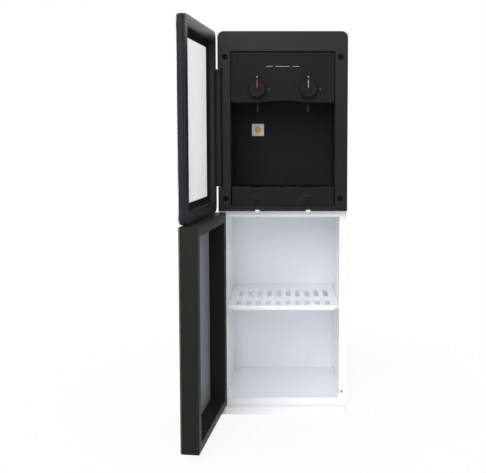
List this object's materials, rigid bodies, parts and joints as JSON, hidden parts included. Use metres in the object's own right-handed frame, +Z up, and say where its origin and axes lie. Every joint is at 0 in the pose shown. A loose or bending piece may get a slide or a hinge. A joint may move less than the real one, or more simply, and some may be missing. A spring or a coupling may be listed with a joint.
{
  "type": "water cooler",
  "caption": "Free-standing hot and cold water cooler with a top bottle seat, a dispensing bay behind a glazed door and a storage cabinet with a shelf behind a deep lower door.",
  "frame": {"origin": "on the floor, under the centre of the body's footprint (doors not counted)", "axes": "+Z up, the front with the doors faces -Y, +X to the right of someone facing the front"},
  "size_m": [0.3659, 0.65, 0.934],
  "materials": {
    "white_steel": "satin white paint on folded sheet",
    "grey_steel": "satin grey paint on sheet",
    "zinc_steel": "zinc-plated sheet",
    "white_plastic": "smooth moulded white",
    "black_plastic": "fine-textured black",
    "bay_plastic": "fine-textured black",
    "panel_plastic": "satin black",
    "knob_plastic": "satin black",
    "door_plastic": "semi-gloss black",
    "door_skin": "high-gloss black outside, grey back",
    "door_glass": "clear window in a black border",
    "grey_plastic": "moulded dark grey",
    "clear_plastic": "translucent",
    "clear_silicone": "translucent pale blue",
    "pipe_silicone": "translucent white",
    "rubber": "matt black",
    "red_mark": "red insert",
    "pale_mark": "pale blue insert",
    "red_rocker": "red",
    "green_rocker": "green",
    "steel": "plated steel",
    "stainless": "stainless steel",
    "aluminium": "extruded",
    "ceramic": "white ceramic",
    "foam": "expanded foam",
    "board_green": "green board"
  },
  "bodies": {
    "cabinet": {"band_heater": "stainless", "bay_liner": "bay_plastic", "board_parts": "grey_plastic", "board_standoffs": "white_plastic", "bottle_probe": "clear_plastic", "bottle_seat": "black_plastic", "cabinet_liner": "white_plastic", "cabinet_rails": "white_steel", "cabinet_shelf": "white_plastic", "catch_magnet": "steel", "cold_block": "aluminium", "cold_tank": "stainless", "cold_tank_foam": "foam", "cold_tank_lid": "white_plastic", "control_panel": "panel_plastic", "divider_plate": "zinc_steel", "door_bumpers": "clear_silicone", "drain_cap": "grey_plastic", "drain_outlet": "grey_plastic", "fan_frame": "grey_plastic", "fascia": "black_plastic", "fascia_screws": "steel", "heat_sink": "aluminium", "hinge_pins": "steel", "hot_tank": "stainless", "hot_tank_jacket": "foam", "left_side_panel": "white_steel", "mains_inlet": "grey_plastic", "middle_hinge_bracket": "steel", "peltier_module": "ceramic", "plinth": "white_plastic", "power_board": "board_green", "rear_panel": "grey_steel", "right_side_panel": "white_steel", "rubber_pads": "rubber", "screw_caps": "rubber", "spouts": "black_plastic", "switch_housings": "grey_plastic", "tank_bracket": "zinc_steel", "tap_bodies": "grey_plastic", "thermostats": "steel", "top_cover": "black_plastic", "water_pipes": "pipe_silicone"},
    "upper_door": {"upper_door_frame": "door_plastic", "window_trim": "door_plastic", "upper_door_glass": "door_glass", "upper_hinge_barrel": "door_plastic"},
    "lower_door": {"lower_door_frame": "door_plastic", "lower_door_panel": "door_skin", "catch_striker": "steel"},
    "hot_tap": {"hot_knob": "knob_plastic", "hot_knob_pointer": "red_mark"},
    "cold_tap": {"cold_knob": "knob_plastic", "cold_knob_pointer": "pale_mark"},
    "tray": {"drip_tray": "bay_plastic"},
    "tray_grille": {"drip_grille": "bay_plastic"},
    "heating_switch": {"heating_rocker": "red_rocker"},
    "cooling_switch": {"cooling_rocker": "green_rocker"},
    "fan": {"fan_rotor": "grey_plastic"}
  },
  "joints": [
    {"name": "upper_door_hinge", "type": "hinge", "parent": "cabinet", "child": "upper_door", "pos_m": [-0.151, -0.162, 0.701], "axis": [0, 0, 1], "range_deg": [-14, 96.2]},
    {"name": "lower_door_hinge", "type": "hinge", "parent": "cabinet", "child": "lower_door", "pos_m": [-0.151, -0.162, 0.26], "axis": [0, 0, 1], "range_deg": [-14, 96.2]},
    {"name": "hot_knob_turn", "type": "hinge", "parent": "cabinet", "child": "hot_tap", "pos_m": [-0.061, -0.168, 0.795], "axis": [0, 1, 0], "range_deg": [0, 90]},
    {"name": "cold_knob_turn", "type": "hinge", "parent": "cabinet", "child": "cold_tap", "pos_m": [0.061, -0.168, 0.795], "axis": [0, 1, 0], "range_deg": [0, 90]},
    {"name": "drip_tray_slide", "type": "slide", "parent": "cabinet", "child": "tray", "axis": [0, 1, 0], "range_m": [-0.12, 0]},
    {"name": "drip_grille_lift", "type": "slide", "parent": "tray", "child": "tray_grille", "axis": [0, 0, 1], "range_m": [0, 0.05]},
    {"name": "heating_rocker_tilt", "type": "hinge", "parent": "cabinet", "child": "heating_switch", "pos_m": [0.081, 0.1705, 0.612], "axis": [1, 0, 0], "range_deg": [0, 20]},
    {"name": "cooling_rocker_tilt", "type": "hinge", "parent": "cabinet", "child": "cooling_switch", "pos_m": [0.111, 0.1705, 0.612], "axis": [1, 0, 0], "range_deg": [0, 20]},
    {"name": "fan_spin", "type": "hinge", "parent": "cabinet", "child": "fan", "pos_m": [0, 0.15, 0.7965], "axis": [0, 1, 0], "continuous": true}
  ]
}
